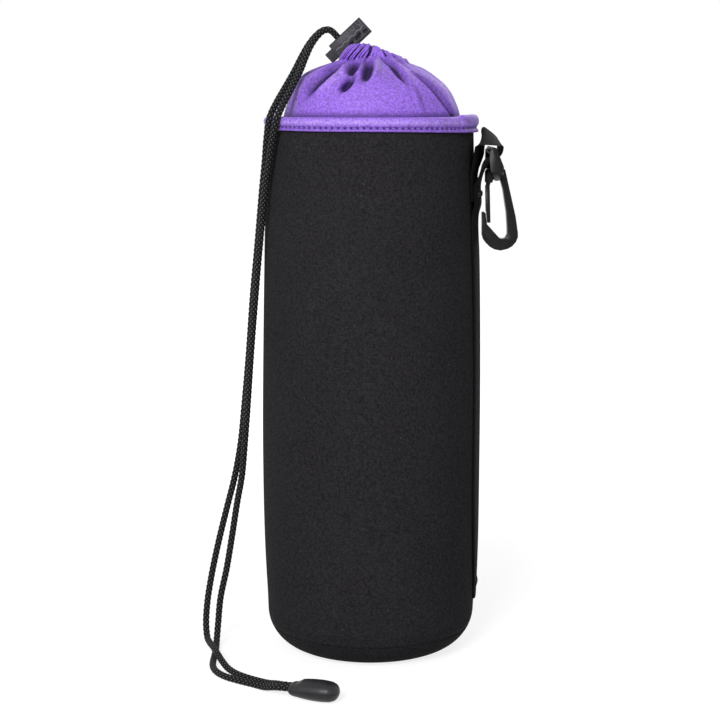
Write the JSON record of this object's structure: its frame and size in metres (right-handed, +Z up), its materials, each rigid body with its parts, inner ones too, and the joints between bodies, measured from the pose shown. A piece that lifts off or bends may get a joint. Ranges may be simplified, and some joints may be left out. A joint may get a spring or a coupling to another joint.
{
  "type": "lens pouch",
  "caption": "Tall padded round pouch for a camera lens, with a gathered drawstring collar, a cord lock and a snap hook on a side strap.",
  "frame": {"origin": "centre of the pouch's flat underside, on the surface it stands on", "axes": "+Z up along the pouch to its gathered mouth, -Y towards the front that the picture shows, +X towards the side strap"},
  "size_m": [0.1469, 0.1409, 0.2936],
  "materials": {
    "neoprene": "black knit-faced neoprene, matt with a faint sheen",
    "foam": "dark grey open foam",
    "purple_knit": "purple brushed satin knit",
    "cord": "black braided polyester",
    "webbing": "black woven webbing",
    "matte_plastic": "dark grey satin moulding",
    "gloss_plastic": "dark grey glossy moulding",
    "steel": "bright spring steel"
  },
  "bodies": {
    "pouch": {"outer_sleeve": "neoprene", "base_panel": "neoprene", "base_pad": "foam", "base_lining": "purple_knit", "inner_lining": "purple_knit", "rim_binding": "purple_knit", "collar": "purple_knit", "drawstring": "cord", "cord_tail_left": "cord", "cord_tail_right": "cord", "cord_end_shell": "gloss_plastic", "cord_end_cap": "gloss_plastic", "cord_knot": "cord", "side_strap": "webbing", "strap_tack_top": "webbing", "strap_tack_base": "webbing"},
    "cord_lock": {"lock_housing": "matte_plastic", "lock_spring": "steel"},
    "lock_button": {"lock_button": "matte_plastic"},
    "clip": {"clip_frame": "matte_plastic", "clip_gate_pin": "steel", "clip_gate_spring": "steel"},
    "gate": {"clip_gate": "matte_plastic"}
  },
  "joints": [
    {"name": "lock_slide", "type": "slide", "parent": "pouch", "child": "cord_lock", "axis": [-0.682, 0, 0.7314], "range_m": [0, 0.002]},
    {"name": "lock_press", "type": "slide", "parent": "cord_lock", "child": "lock_button", "axis": [0.7314, 0, 0.682], "range_m": [0, 0.003], "stiffness_N_per_m": 800, "springref_m": -0.00025, "deforming": ["lock_spring"]},
    {"name": "clip_swing", "type": "hinge", "parent": "pouch", "child": "clip", "pos_m": [0.05543, -0.00681, 0.2336], "axis": [0, -1, 0], "range_deg": [0, 75]},
    {"name": "gate_swing", "type": "hinge", "parent": "clip", "child": "gate", "pos_m": [0.05447, -0.00681, 0.22213], "axis": [0, -1, 0], "range_deg": [0, 18], "stiffness_Nm_per_rad": 0.008, "springref_deg": -14.32}
  ]
}
